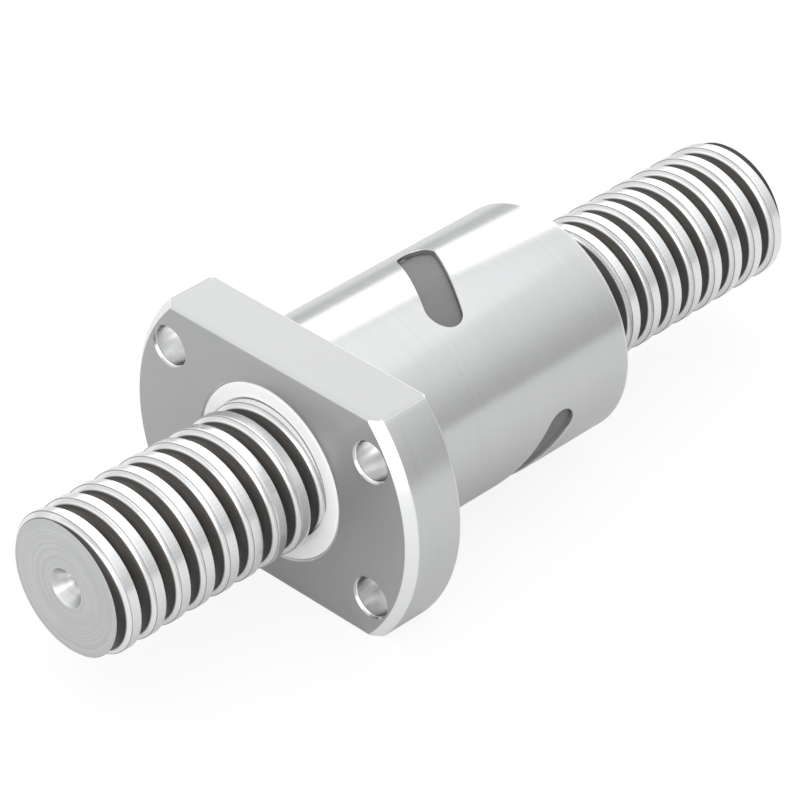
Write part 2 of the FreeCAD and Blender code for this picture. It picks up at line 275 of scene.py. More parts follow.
def thread_tree():
    tree = bpy.data.node_groups.new("thread_by_rule", "GeometryNodeTree")
    for name, kind, direction in (("Pitch Outline", "NodeSocketGeometry", "INPUT"),
                                  ("Lead", "NodeSocketFloat", "INPUT"),
                                  ("Turns", "NodeSocketInt", "INPUT"),
                                  ("Columns", "NodeSocketInt", "INPUT"),
                                  ("Thread", "NodeSocketGeometry", "OUTPUT")):
        tree.interface.new_socket(name=name, in_out=direction, socket_type=kind)
    bench = Bench(tree)
    given = tree.nodes.new("NodeGroupInput")
    outline, lead, turns, columns = [Wire(bench, given.outputs[i]) for i in range(4)]
    points = bench.node("GeometryNodeAttributeDomainSize", None, {0: outline})
    rows = points * turns
    grid = bench.node("GeometryNodeMeshGrid", None, {0: 1.0, 1: 1.0, 2: columns + 1, 3: rows + 1})
    place = bench.node("GeometryNodeInputPosition")
    turn = bench.node("ShaderNodeSeparateXYZ", None, {0: place}) + 0.5
    along = bench.node("ShaderNodeSeparateXYZ", None, {0: place}, output=1) + 0.5
    row = (along * rows).maths("ROUND")
    in_pitch = row % points
    pitch = (row / points + ROUNDING_HAIR).maths("FLOOR")
    looked_up = bench.node("GeometryNodeSampleIndex", {"data_type": "FLOAT_VECTOR"},
                           {0: outline, 1: place, 2: in_pitch})
    offset = bench.node("ShaderNodeSeparateXYZ", None, {0: looked_up})
    radius = bench.node("ShaderNodeSeparateXYZ", None, {0: looked_up}, output=1)
    angle = turn * (2 * math.pi)
    spot = bench.node("ShaderNodeCombineXYZ", None,
                      {0: offset + (pitch + turn) * lead,
                       1: radius * angle.maths("COSINE"),
                       2: radius * angle.maths("SINE")})
    shaped = bench.node("GeometryNodeSetPosition", None, {"Geometry": grid, "Position": spot})
    merged = bench.node("GeometryNodeMergeByDistance", None, {"Geometry": shaped, "Distance": WELD_DISTANCE})
    real = bench.node("GeometryNodeRealizeInstances", None, {0: merged})
    done = bench.node("GeometryNodeSetMaterial", None,
                      {"Geometry": real, "Material": bpy.data.materials.new("unfinished_steel")})
    tree.links.new(done.socket, tree.nodes.new("NodeGroupOutput").inputs[0])
    return tree


THREAD_TREE = thread_tree()
print("nodes in the thread's tree", len(THREAD_TREE.nodes))


def threaded_core(name, outline, lead, start_x, end_x, groove_x, columns):
    """A closed threaded bar that passes both ends by more than a turn."""
    first = math.floor((start_x - groove_x) / lead) - TURNS_BEFORE
    turns = math.ceil((end_x - start_x) / lead) + TURNS_SPARE
    mesh = bpy.data.meshes.new(name)
    mesh.from_pydata([(groove_x + first * lead + x, radius, 0) for x, radius in outline], [], [])
    core = new_object(name, mesh)
    modifier = core.modifiers.new("thread", "NODES")
    modifier.node_group = THREAD_TREE
    sockets = {item.name: item.identifier for item in THREAD_TREE.interface.items_tree}
    modifier[sockets["Lead"]] = lead
    modifier[sockets["Turns"]] = turns
    modifier[sockets["Columns"]] = columns
    settled(core, name)
    work = bmesh.new()
    work.from_mesh(core.data)
    rims = [edge for edge in work.edges if edge.is_boundary]
    caps = bmesh.ops.holes_fill(work, edges=rims)["faces"]
    bmesh.ops.poke(work, faces=caps)
    bmesh.ops.recalc_face_normals(work, faces=work.faces)
    work.to_mesh(core.data)
    work.free()
    return core


# %% [markdown]
# The outline of one pitch is a gothic arch: two arcs whose centres lie a little past the ball's
# centre, so that a ball touches each flank at one point. The land between two grooves is flat,
# and a rolled thread has a soft edge where land and flank meet, which catches the light.

# %% Outline of one pitch of the ball thread
FLANK_STEPS = 7
EDGE_STEPS = 3
LAND_STEPS = 2


def pitch_outline(land_r, flank_r, inward, edge):
    """Points (x, radius) over one lead, from the middle of a land over the groove to the next land."""
    bottom = math.asin(GROOVE_SHIFT / flank_r)
    top = math.acos(max(inward * (BALL_CIRCLE_R - land_r) / flank_r, 0))

    def on_flank(turn):
        return Vector((flank_r * math.sin(turn) - GROOVE_SHIFT,
                       BALL_CIRCLE_R - inward * flank_r * math.cos(turn)))

    corner = on_flank(top)
    corner.y = land_r
    last_flank = top - edge / flank_r
    half = [on_flank(bottom + (last_flank - bottom) * i / FLANK_STEPS) for i in range(FLANK_STEPS + 1)]
    on_land = corner + Vector((edge, 0))
    for i in range(1, EDGE_STEPS + 1):
        t = i / EDGE_STEPS
        half.append(half[FLANK_STEPS] * (1 - t) ** 2 + corner * 2 * t * (1 - t) + on_land * t ** 2)
    for i in range(1, LAND_STEPS):
        half.append(on_land.lerp(Vector((LEAD / 2, land_r)), i / LAND_STEPS))
    mirrored = [(-point.x, point.y) for point in reversed(half)]
    return [(-LEAD / 2, land_r)] + mirrored[:-1] + [tuple(point) for point in half]


SCREW_EDGE = 0.1 * MM
screw_pitch = pitch_outline(screw_r, GROOVE_R, 1, SCREW_EDGE)
root_r = min(radius for x, radius in screw_pitch)
print("points in one pitch", len(screw_pitch), "groove depth", round((screw_r - root_r) / MM, 2))

# %% [markdown]
# The screw shaft is that thread, kept only where it lies inside a turned blank.
# The blank brings the flat ends, their chamfers and the 60 degree centre holes. It is wider than
# the thread between its ends, because two surfaces that coincide spoil a boolean.
# Facets of the thread meet at under 28 degrees and the cone of a centre hole meets its pilot at 30,
# so edges are kept sharp from 29 degrees on.

# %% Screw shaft
SCREW_COLUMNS = 96
SCREW_SHARP_FROM = 29
CENTRE_HALF_ANGLE = 30
END_CHAMFER = 1 * MM
CENTRE_PILOT_R = 1.575 * MM
CENTRE_MOUTH_R = 3.35 * MM
CENTRE_DEPTH = 4.5 * MM
BLANK_SPARE = 1 * MM


def screw_blank():
    cone = (CENTRE_MOUTH_R - CENTRE_PILOT_R) / math.tan(math.radians(CENTRE_HALF_ANGLE))
    front = screw_low.x
    rear = screw_high.x
    face_r = screw_r - END_CHAMFER
    wide_r = screw_r + BLANK_SPARE
    run = END_CHAMFER + BLANK_SPARE
    outline = [(front + CENTRE_DEPTH, 0), (front + CENTRE_DEPTH, CENTRE_PILOT_R),
               (front + cone, CENTRE_PILOT_R), (front, CENTRE_MOUTH_R),
               (front, face_r), (front + run, wide_r),
               (rear - run, wide_r), (rear, face_r),
               (rear, CENTRE_MOUTH_R), (rear - cone, CENTRE_PILOT_R),
               (rear - CENTRE_DEPTH, CENTRE_PILOT_R), (rear - CENTRE_DEPTH, 0)]
    return turned("screw_blank", outline, closed=False, segments=SCREW_COLUMNS)


screw = threaded_core("rolled_screw", screw_pitch, LEAD, screw_low.x, screw_high.x, THREAD_X, SCREW_COLUMNS)
carved(screw, "INTERSECT", screw_blank())
smoothed(screw, SCREW_SHARP_FROM)
print("screw faces", len(screw.data.polygons))

# %% [markdown]
# The nut's blank is turned, and its flange then has two flats milled on it. Both are one formula:
# the radius at a place is the turned one or the distance to the flat, whichever is less.
# The columns of the mesh shift so that one of them always follows the edge between rim and flat.
# Every edge that a hand would meet is broken a little, as on the real nut.

# %% Blank of the nut
RIM_CHAMFER = 1.5 * MM
REAR_CHAMFER = 0.5 * MM
END_BREAK = 0.6 * MM
FLAT_BREAK = 0.3 * MM
FLAT_REAR_BREAK = 0.15 * MM
EDGE_SOFT = 0.12 * MM
CORNER_HALF = 0.18 * MM
CORNER_DROP = 0.04 * MM
WIPER_POCKET_R = 15.15 * MM
WIPER_DEPTH = 5 * MM
MOUTH_BREAK = 0.3 * MM
PILOT_BORE_R = 12 * MM
RIM_COLUMNS = 28
FLAT_COLUMNS = 34
BREAK_SHARES = (0.25, 0.5, 0.75, 1)


def flat_height(x):
    """Distance of the milled flat from the axis, less where its front and rear edges are broken."""
    front_drop = max(0.0, FLAT_BREAK - (x - nut_front))
    rear_drop = max(0.0, FLAT_REAR_BREAK + x)
    return flat_z - front_drop ** 2 / FLAT_BREAK - rear_drop ** 2 / FLAT_REAR_BREAK


def flange_ring(x, radius):
    """Points round the nut at x, with the flats cut where they lie inside the turned radius."""
    limit = flat_height(x)
    is_cut = x <= 0 and radius > limit
    corner_r = radius if is_cut else flange_r
    corner_z = limit if is_cut else flat_z
    corner = math.asin(corner_z / corner_r)
    half = CORNER_HALF / corner_r
    turns = [(corner - half) * i / RIM_COLUMNS for i in range(RIM_COLUMNS + 1)] + [corner]
    turns += [corner + half + (math.pi / 2 - corner - half) * i / FLAT_COLUMNS
              for i in range(FLAT_COLUMNS + 1)]
    quarter = []
    for turn in turns:
        reach = radius
        if is_cut and turn > 0:
            reach = min(radius, limit / math.sin(turn))
            if turn == corner:
                reach -= CORNER_DROP
        quarter.append((turn, reach))
    whole = quarter + [(math.pi - turn, reach) for turn, reach in reversed(quarter[:-1])]
    whole += [(math.pi + turn, reach) for turn, reach in quarter[1:]]
    whole += [(2 * math.pi - turn, reach) for turn, reach in reversed(quarter[1:-1])]
    return [(x, reach * math.cos(turn), reach * math.sin(turn)) for turn, reach in whole]


def with_break_rows(outline):
    """Add points on the front chamfer, so that the broken front edge of a flat has rings to follow."""
    break_rows = [nut_front + FLAT_BREAK * share for share in BREAK_SHARES]
    start = next(i for i, (x, radius) in enumerate(outline) if x > break_rows[-1])
    before = [point for point in outline[:start] if point[0] <= nut_front + EDGE_SOFT]
    added = [(x, flange_r - RIM_CHAMFER + (x - nut_front)) for x in break_rows
             if x > before[-1][0] + EDGE_SOFT / 4]
    return before + added + outline[start:]


def nut_blank():
    mouth_r = WIPER_POCKET_R + MOUTH_BREAK
    corners = [(nut_front, mouth_r, 0), (nut_front, flange_r - RIM_CHAMFER, EDGE_SOFT),
               (nut_front + RIM_CHAMFER, flange_r, EDGE_SOFT), (-REAR_CHAMFER, flange_r, EDGE_SOFT),
               (0, flange_r - REAR_CHAMFER, EDGE_SOFT), (0, body_r, 0),
               (nut_rear - END_BREAK, body_r, EDGE_SOFT), (nut_rear, body_r - END_BREAK, EDGE_SOFT),
               (nut_rear, mouth_r, 0), (nut_rear - MOUTH_BREAK, WIPER_POCKET_R, 0),
               (nut_rear - WIPER_DEPTH, WIPER_POCKET_R, 0), (nut_rear - WIPER_DEPTH, PILOT_BORE_R, 0),
               (nut_front + WIPER_DEPTH, PILOT_BORE_R, 0), (nut_front + WIPER_DEPTH, WIPER_POCKET_R, 0),
               (nut_front + MOUTH_BREAK, WIPER_POCKET_R, 0)]
    outline = with_break_rows(softened(corners, closed=True))
    return skin("flanged_nut", [flange_ring(x, radius) for x, radius in outline], closed=True)


nut = nut_blank()
print("blank faces", len(nut.data.polygons))

# %% [markdown]
# Bolt holes and the lubrication port are turned tools with a flared mouth, so the hole they leave
# has a softly broken edge with no extra bevel step. A tool that is built round X is stood where it
# is needed by a matrix that is applied to its mesh at once.

# %% Tools for round holes
HOLE_BREAK = 0.4 * MM
HOLE_SOFT = 0.2 * MM
HOLE_REAR_BREAK = 0.15 * MM
HOLE_REAR_SOFT = 0.08 * MM
PAST = 1 * MM
PORT_DEPTH = 8 * MM
PORT_BREAK = 0.6 * MM
PORT_SOFT = 0.15 * MM
PASSAGE_R = 0.9 * MM
TOOL_SEGMENTS = 64


def bolt_tool(side_y, side_z):
    corners = [(nut_front - PAST, 0, 0), (nut_front - PAST, bolt_r + HOLE_BREAK + PAST, 0),
               (nut_front + HOLE_BREAK, bolt_r, HOLE_SOFT), (-HOLE_REAR_BREAK, bolt_r, HOLE_REAR_SOFT),
               (PAST, bolt_r + HOLE_REAR_BREAK + PAST, 0), (PAST, 0, 0)]
    tool = turned("bolt_tool", softened(corners, closed=False), closed=False, segments=TOOL_SEGMENTS)
    tool.data.transform(Matrix.Translation((0, side_y * bolt_y, side_z * bolt_z)))
    return tool


def stood(tool, x, phi):
    """Turn a tool's own X so that it points away from the axis, at the angle phi from +Y towards +Z."""
    to_y = Matrix.Rotation(math.radians(90), 4, "Z")
    tool.data.transform(Matrix.Translation((x, 0, 0)) @ Matrix.Rotation(math.radians(phi), 4, "X") @ to_y)
    return tool


def radial_tool(name, corners, x, phi):
    tool = turned(name, softened(corners, closed=False), closed=False, segments=TOOL_SEGMENTS)
    return stood(tool, x, phi)


for side_y in (1, -1):
    for side_z in (1, -1):
        carved(nut, "DIFFERENCE", bolt_tool(side_y, side_z))
floor_of_port = flange_r - PORT_DEPTH
port = radial_tool("port_tool", [(NUT_BORE_R - PAST, 0, 0), (NUT_BORE_R - PAST, PASSAGE_R, 0),
                                 (floor_of_port, PASSAGE_R, 0), (floor_of_port, port_r, 0),
                                 (flange_r - PORT_BREAK, port_r, PORT_SOFT),
                                 (flange_r + PAST, port_r + PORT_BREAK + PAST, 0),
                                 (flange_r + PAST, 0, 0)], port_x, 0)
carved(nut, "DIFFERENCE", port)
print("holes cut, faces", len(nut.data.polygons))

# %% [markdown]
# The port takes a grease nipple, so it is tapped. The tap is the same thread tree with a 60 degree
# outline, kept only over the depth that a tap reaches, and stood on the rim like the hole itself.
# Between its teeth it is a hair thinner than the hole, as surfaces that coincide spoil a boolean.

# %% Tapped thread of the port
TAP_PITCH = 1 * MM
TAP_MAJOR_R = 3 * MM
TAP_MINOR_R = port_r - 0.02 * MM
TAP_SHORT_OF_FLOOR = 1.2 * MM
TAP_COLUMNS = 32


def vee_outline(pitch, minor_r, major_r):
    """One pitch of a metric thread: its small flats are a quarter and an eighth of the pitch wide."""
    return [(-pitch / 2, minor_r), (-pitch * 3 / 8, minor_r), (-pitch / 16, major_r),
            (pitch / 16, major_r), (pitch * 3 / 8, minor_r)]


tap_start = floor_of_port + TAP_SHORT_OF_FLOOR
tap = threaded_core("tap", vee_outline(TAP_PITCH, TAP_MINOR_R, TAP_MAJOR_R), TAP_PITCH,
                    tap_start, flange_r, flange_r, TAP_COLUMNS)
tap_reach = turned("tap_reach", [(tap_start, 0), (tap_start, TAP_MAJOR_R + PAST),
                                 (flange_r + PAST, TAP_MAJOR_R + PAST), (flange_r + PAST, 0)],
                   closed=False, segments=TAP_COLUMNS)
carved(tap, "INTERSECT", tap_reach)
carved(nut, "DIFFERENCE", stood(tap, port_x, 0))
print("port tapped, faces", len(nut.data.polygons))

# %% [markdown]
# Two headless screws point up from below and enter the wipers, and two wire rings lie half in the
# nut and half in the wipers. The same tools cut their seats in the nut here and in the wipers later.

# %% Seats of the stop screws and lock rings
STOP_GAP = 0.05 * MM
STOP_BREAK = 0.15 * MM
STOP_SOFT = 0.05 * MM
STOP_PHI = -90
WIPER_R = 15.1 * MM
RING_SEAT_R = 0.7 * MM
RING_SEAT_STEPS = 20


def stop_tool(end):
    mouth_r = flat_z if end == "front" else body_r
    hole_r = stop_r + STOP_GAP
    corners = [(stop_tip_r - STOP_GAP, 0, 0), (stop_tip_r - STOP_GAP, hole_r, 0),
               (mouth_r - STOP_BREAK, hole_r, STOP_SOFT),
               (mouth_r + PAST, hole_r + STOP_BREAK + PAST, 0), (mouth_r + PAST, 0, 0)]
    return radial_tool("stop_tool", corners, middle_x(end + "_stop_screw"), STOP_PHI)


def ring_seat(end):
    x = middle_x(end + "_lock_ring")
    turns = [2 * math.pi * i / RING_SEAT_STEPS for i in range(RING_SEAT_STEPS)]
    outline = [(x + RING_SEAT_R * math.cos(turn), WIPER_R + RING_SEAT_R * math.sin(turn)) for turn in turns]
    return turned("ring_seat", outline, closed=True)


for end in ("front", "rear"):
    carved(nut, "DIFFERENCE", stop_tool(end))
    carved(nut, "DIFFERENCE", ring_seat(end))
print("seats cut, faces", len(nut.data.polygons))

# %% [markdown]
# Each deflector sits in an oval pocket that is milled through the nut's wall, slanted across the
# thread. The milling tool's wall flares out just under the surface, and it follows the round of the
# body, so the lip is equally soft all round the oval. Each pocket takes two cuts: a long shallow one
# for the deflector's head, and a shorter one through the wall, a hair narrower so that the two tools
# have no wall in common.

# %% Pockets of the deflectors
POCKET_WIDTH = 6 * MM
POCKET_LENGTH = 18.6 * MM
POCKET_HEAD = 21 * MM
POCKET_TILT = 29
POCKET_STEP_R = 16.6 * MM
POCKET_LIP = 0.22 * MM
THROUGH_WIDTH = POCKET_WIDTH - 0.02 * MM
THROUGH_LOW_R = 9 * MM
THROUGH_LIP = 0.01 * MM
FLARE_STEPS = 5
FLARE_DEGREES = 18
FLARE_RISE = 3


def oval(width, length, round_steps=20, straight_steps=12):
    """Points and outward directions of a long round-ended outline about its middle."""
    half_straight = (length - width) / 2
    points = []
    for end in (1, -1):
        for i in range(round_steps + 1):
            turn = math.pi * (i / round_steps - 0.5) + (0 if end == 1 else math.pi)
            out = Vector((math.cos(turn), math.sin(turn)))
            points.append((Vector((end * half_straight, 0)) + out * width / 2, out))
        for i in range(1, straight_steps):
            out = Vector((0, end))
            along = end * half_straight * (1 - 2 * i / straight_steps)
            points.append((Vector((along, end * width / 2)), out))
    return points


def circuit_place(number):
    """Angle in degrees and axial position of the middle of a circuit's deflector."""
    return FIRST_PHI + number * 360 / CIRCUITS, FIRST_X + number * (LEAD + LEAD / CIRCUITS)


def pocket_tool(number, width, length, low_r, lip):
    """Rings of the oval from low_r up through the body's surface, flaring over the lip."""
    outline = oval(width, length)
    spin = Matrix.Rotation(math.radians(90 - POCKET_TILT), 2)
    points = [(spin @ point, spin @ out) for point, out in outline]
    turns = [math.radians(FLARE_DEGREES * i) for i in range(FLARE_STEPS)]
    flare = [(lip * (1 - math.cos(turn)), lip * (1 - math.sin(turn))) for turn in turns]
    flare.append((flare[-1][0] + lip, flare[-1][1] - FLARE_RISE * lip))
    rings = [[(0, 0, low_r)], [(point.x, point.y, low_r) for point, out in points]]
    for outwards, depth in flare:
        ring = []
        for point, out in points:
            spot = point + out * outwards
            ring.append((spot.x, spot.y, math.sqrt(body_r ** 2 - spot.y ** 2) - depth))
        rings.append(ring)
    rings.append([(0, 0, body_r + PAST)])
    tool = skin("pocket_tool", rings, closed=False)
    phi, x = circuit_place(number)
    tool.data.transform(Matrix.Translation((x, 0, 0)) @ Matrix.Rotation(math.radians(phi - 90), 4, "X"))
    return tool


for number in range(CIRCUITS):
    carved(nut, "DIFFERENCE", pocket_tool(number, POCKET_WIDTH, POCKET_HEAD, POCKET_STEP_R, POCKET_LIP))
    carved(nut, "DIFFERENCE", pocket_tool(number, THROUGH_WIDTH, POCKET_LENGTH, THROUGH_LOW_R, THROUGH_LIP))
print("pockets cut, faces", len(nut.data.polygons))

# %% [markdown]
# At each end of its pocket a deflector hands the balls back to the thread, so the channel also nicks
# the nut. The tool is a round tube along the path of the balls' centres, which is a formula: an S
# over one land, lifted in its middle.

# %% Return channels
CHANNEL_R = 1.74 * MM
CHANNEL_STEPS = 32
CHANNEL_SIDES = 24
RETURN_HALF_ANGLE = 27
RETURN_LIFT = 1.45 * MM


def return_point(number, step):
    """Ball centre in a deflector, as step goes from -1 at one end of the channel to 1 at the other."""
    phi_middle, x_middle = circuit_place(number)
    phi = math.radians(phi_middle + step * RETURN_HALF_ANGLE)
    x_span = LEAD / 2 - LEAD * RETURN_HALF_ANGLE / 360
    radius = BALL_CIRCLE_R + RETURN_LIFT * (1 - step ** 6) ** 2
    return Vector((x_middle - x_span * (3 * step - step ** 3) / 2, radius * math.cos(phi),
                   radius * math.sin(phi)))


def channel_tool(number):
    near = 0.01
    rings = []
    for i in range(CHANNEL_STEPS + 1):
        step = 2 * i / CHANNEL_STEPS - 1
        middle = return_point(number, step)
        ahead = return_point(number, min(step + near, 1)) - return_point(number, max(step - near, -1))
        outward = Vector((0, middle.y, middle.z)).normalized()
        across = outward.cross(ahead).normalized()
        over = ahead.normalized().cross(across)
        turns = [2 * math.pi * side / CHANNEL_SIDES for side in range(CHANNEL_SIDES)]
        rings.append([middle + (across * math.cos(turn) + over * math.sin(turn)) * CHANNEL_R
                      for turn in turns])
    caps = [[return_point(number, -1)], [return_point(number, 1)]]
    return skin("channel_tool", [caps[0]] + rings + [caps[1]], closed=False)


for number in range(CIRCUITS):
    carved(nut, "DIFFERENCE", channel_tool(number))
print("channels cut, faces", len(nut.data.polygons))

# %% [markdown]
# Inside, the nut has the same gothic thread turned inside out. The thread tool is wider than the
# pilot bore, so one cut makes both the lands and the grooves.

# %% Ball thread of the nut
NUT_COLUMNS = 72
NUT_EDGE = 0.05 * MM

nut_core = threaded_core("nut_core", pitch_outline(NUT_BORE_R, GROOVE_R, -1, NUT_EDGE), LEAD,
                         nut_front + WIPER_DEPTH, nut_rear - WIPER_DEPTH, THREAD_X, NUT_COLUMNS)
carved(nut, "DIFFERENCE", nut_core)
smoothed(nut)
print("nut faces", len(nut.data.polygons))

# %% [markdown]
# The wipers are white plastic rings. Their hole has the thread's own form, a little larger, so a lip
# lies in the groove all the way round. The outer edge is moulded soft, and the seats of the lock ring
# and of the stop screw are cut with the tools that cut them in the nut.

# %% Wipers
LIP_GAP = 0.2 * MM
LIP_EDGE = 0.08 * MM
WIPER_SOFT = 0.35 * MM
WIPER_INNER_SOFT = 0.1 * MM
WIPER_BLANK_BORE_R = 9 * MM
WIPER_SHARP_FROM = 40


def moulded_wiper(end, outer_x, inner_x):
    corners = [(outer_x, WIPER_BLANK_BORE_R, 0), (outer_x, WIPER_R, WIPER_SOFT),
               (inner_x, WIPER_R, WIPER_INNER_SOFT), (inner_x, WIPER_BLANK_BORE_R, 0)]
    ring = turned(end + "_wiper_ring", softened(corners, closed=True), closed=True)
    carved(ring, "DIFFERENCE", ring_seat(end))
    carved(ring, "DIFFERENCE", stop_tool(end))
    core = threaded_core("wiper_core", pitch_outline(screw_r + LIP_GAP, GROOVE_R - LIP_GAP, 1, LIP_EDGE),
                         LEAD, min(outer_x, inner_x), max(outer_x, inner_x), THREAD_X, SCREW_COLUMNS)
    carved(ring, "DIFFERENCE", core)
    return smoothed(ring, WIPER_SHARP_FROM)


front_wiper = moulded_wiper("front", nut_front, nut_front + WIPER_DEPTH)
rear_wiper = moulded_wiper("rear", nut_rear, nut_rear - WIPER_DEPTH)
print("wiper faces", len(front_wiper.data.polygons), len(rear_wiper.data.polygons))

# %% [markdown]
# Every finish starts from the place on the piece, in millimetres, and the distance from the axis.
# Tool marks run round the axis on what was turned or ground and in rings on the end faces, so one
# noise texture is stretched along the lay and read at the axial place or at the radius.
# A number that multiplies a place is how many marks of the noise come to a millimetre, and a mask
# that reads a place has its limits in millimetres. A number that multiplies a mask or a noise is how
# much of it goes into a colour or a roughness. A grey is the colour itself, from 0 to 1.

# %% Finishes share these
class Finish(Bench):
    """A material whose nodes hang on one Principled shader."""

    def __init__(self, name, metallic=0.0):
        self.material = bpy.data.materials.new(name)
        self.material.use_nodes = True
        super().__init__(self.material.node_tree)
        self.shader = self.tree.nodes["Principled BSDF"]
        self.shader.inputs["Metallic"].default_value = metallic
        place = self.node("ShaderNodeTexCoord", None, None, output=3)
        self.x, self.y, self.z = [self.node("ShaderNodeSeparateXYZ", None, {0: place}, output=i) / MM
                                  for i in range(3)]
        self.radius = (self.y * self.y + self.z * self.z).maths("SQRT")

    def feed(self, name, value):
        """Link what changes over the surface, or set what is the same everywhere."""
        if isinstance(value, Wire):
            self.tree.links.new(value.socket, self.shader.inputs[name])
        else:
            self.shader.inputs[name].default_value = value

    def noise(self, x, y, z, detail=3.0):
        where = self.node("ShaderNodeCombineXYZ", None, {0: x, 1: y, 2: z})
        return self.node("ShaderNodeTexNoise", None, {"Vector": where, "Scale": 1.0, "Detail": detail})

    def band(self, value, middle, half_width):
        """1 at the middle, fading to 0 at half_width from it."""
        return 1 - self.step((value - middle).maths("ABSOLUTE"), 0.0, half_width)

    def mixed(self, mask, low, high):
        """The colour low where the mask is 0, and the colour high where it is 1."""
        inputs = {0: mask, 6: low, 7: high}
        return self.node("ShaderNodeMix", {"data_type": "RGBA"}, inputs, output=2)

    def bump(self, height, distance, strength):
        inputs = {"Height": height, "Distance": distance, "Strength": strength}
        self.feed("Normal", self.node("ShaderNodeBump", None, inputs))

    def done(self):
        """Say how many nodes the finish took, and hand over its material."""
        print(self.material.name, "nodes", len(self.tree.nodes))
        return self.material


def grey(value, warmth=0.0):
    """A grey, with a little more red and less blue where it is warm."""
    return (value * (1 + warmth), value, value * (1 - warmth), 1.0)


FINE_BUMP = 0.01 * MM


# %% [markdown]
# The nut is ground on its body, turned on its faces and milled on its flats. The photograph shows
# the body nearly mirror-smooth and the front face a duller grey, so colour and roughness follow those
# regions. The chamfer round the face is painted almost white: a painted highlight of the light it
# mirrors. The walls of the bolt holes are bright and satin.
# Edges that are handled get polished first, which shows as a brighter, smoother line.

# %% Finish of the nut
FACE_DEPTH = 0.03
FACE_FADE = 0.02
HOLE_WALL_FROM = 0.05
HOLE_WALL_TO = 0.2
WORN_RIM_FROM = 0.6
WORN_RIM_TO = 0.2
WORN_RIM_WIDTH = 0.3
WORN_END_WIDTH = 0.5
BEVEL_FADE = 0.05
FLANGE_END = 0.2
FLANGE_FADE = 0.3


def bolt_hole_wall(finish):
    """1 on the wall of a bolt hole, from the distance to the nearest hole's axis."""
    side_y = finish.y.maths("ABSOLUTE") - bolt_y / MM
    side_z = finish.z.maths("ABSOLUTE") - bolt_z / MM
    distance = (side_y * side_y + side_z * side_z).maths("SQRT")
    return 1 - finish.step(distance, bolt_r / MM + HOLE_WALL_FROM, bolt_r / MM + HOLE_WALL_TO)


def worn_edges(finish, cloud):
    """Bands along the edges of rim, chamfer and body, uneven as wear is."""
    on_rim = finish.step(finish.radius, flange_r / MM - WORN_RIM_FROM, flange_r / MM - WORN_RIM_TO)
    at_chamfer = finish.band(finish.x, (nut_front + RIM_CHAMFER) / MM, WORN_RIM_WIDTH)
    at_rear = finish.band(finish.x, -REAR_CHAMFER / MM, WORN_RIM_WIDTH)
    at_end = finish.band(finish.x, (nut_rear - END_BREAK) / MM, WORN_END_WIDTH)
    return (on_rim * (at_chamfer + at_rear) + at_end) * (0.35 + cloud * 0.9)


def chamfer_highlight(finish, on_flat):
    """1 on the turned bevel between the flange's front face and its rim, where a highlight is painted."""
    outside = finish.step(finish.radius - (flange_r - RIM_CHAMFER) / MM, -BEVEL_FADE, BEVEL_FADE)
    in_front = 1 - finish.step(finish.x - (nut_front + RIM_CHAMFER) / MM, -BEVEL_FADE, BEVEL_FADE)
    return outside * in_front * (1 - on_flat)


def ground_steel():
    finish = Finish("ground_steel", metallic=1.0)
    front_face = finish.step(nut_front / MM + FACE_DEPTH - finish.x, 0.0, FACE_FADE)
    end_faces = front_face + finish.step(finish.x - nut_rear / MM + FACE_DEPTH, 0.0, FACE_FADE)
    on_flat = finish.step(finish.z.maths("ABSOLUTE") - flat_z / MM + FACE_DEPTH, 0.0, FACE_FADE)
    flange = finish.step(FLANGE_END - finish.x, 0.0, FLANGE_FADE)
    wall = bolt_hole_wall(finish) * flange * (1 - front_face)
    across_lay = finish.x * (1 - end_faces) + finish.radius * end_faces
    marks = finish.noise(across_lay * 4.0, finish.y * 0.12, finish.z * 0.12, detail=5.0)
    lines = finish.noise(across_lay * 1.1, finish.y * 0.02, finish.z * 0.02, detail=2.0)
    cloud = finish.noise(finish.x * 0.09, finish.y * 0.09, finish.z * 0.09)
    worn = worn_edges(finish, cloud)
    rough = 0.09 + lines * 0.04 + marks * 0.05 + cloud * 0.04
    rough = rough + flange * 0.05 + on_flat * 0.16 + front_face * 0.24
    finish.feed("Roughness", rough - worn * 0.04 + wall * 0.04)
    tone = marks * 0.2 + lines * 0.4 + cloud * 0.4
    ground = finish.mixed(tone, grey(0.57), grey(0.68))
    milled = finish.mixed(on_flat, ground, finish.mixed(tone, grey(0.43), grey(0.5)))
    faced = finish.mixed(front_face, milled, finish.mixed(tone, grey(0.44), grey(0.52)))
    # The chamfer's mask paints a highlight into the base colour, at the same near white as the bright walls
    # and edges.
    bright = wall + worn * 0.7 + chamfer_highlight(finish, on_flat)
    finish.feed("Base Color", finish.mixed(bright.maths("MINIMUM", 1.0), faced, grey(0.93)))
    finish.bump(marks * (1 - wall * 0.85), FINE_BUMP, 0.5)
    return finish.done()


nut_finish = ground_steel()

# %% [markdown]
# Rolling leaves the lands bright and burnished. In the groove the balls run on two tracks, one on
# each flank, and keep them bright, while the root between the tracks and the lip above them are
# painted dark: painted shade and painted dark reflections of the groove, partly a brownish film of oil.
# The radius tells these zones apart. Fine streaks follow the helix: their texture is read at the phase
# of the thread, which joins up round the whole turn. The end faces and centre holes are turned after
# rolling, so they are bare steel with round marks, and the narrow pilot at the bottom of a centre hole
# is painted dark as painted shade.

# %% Finish of the screw
ROOT_TOP_R = 11.42
TRACK_BOTTOM_R = 11.68
LIP_R = 12.3
LIP_HALF_WIDTH = 0.12
CORE_R = 10.8
CORE_FADE = 0.1
END_DEPTH = 0.05
END_FADE = 0.03
PILOT_WALL_FROM = 0.03
PILOT_WALL_TO = 0.15


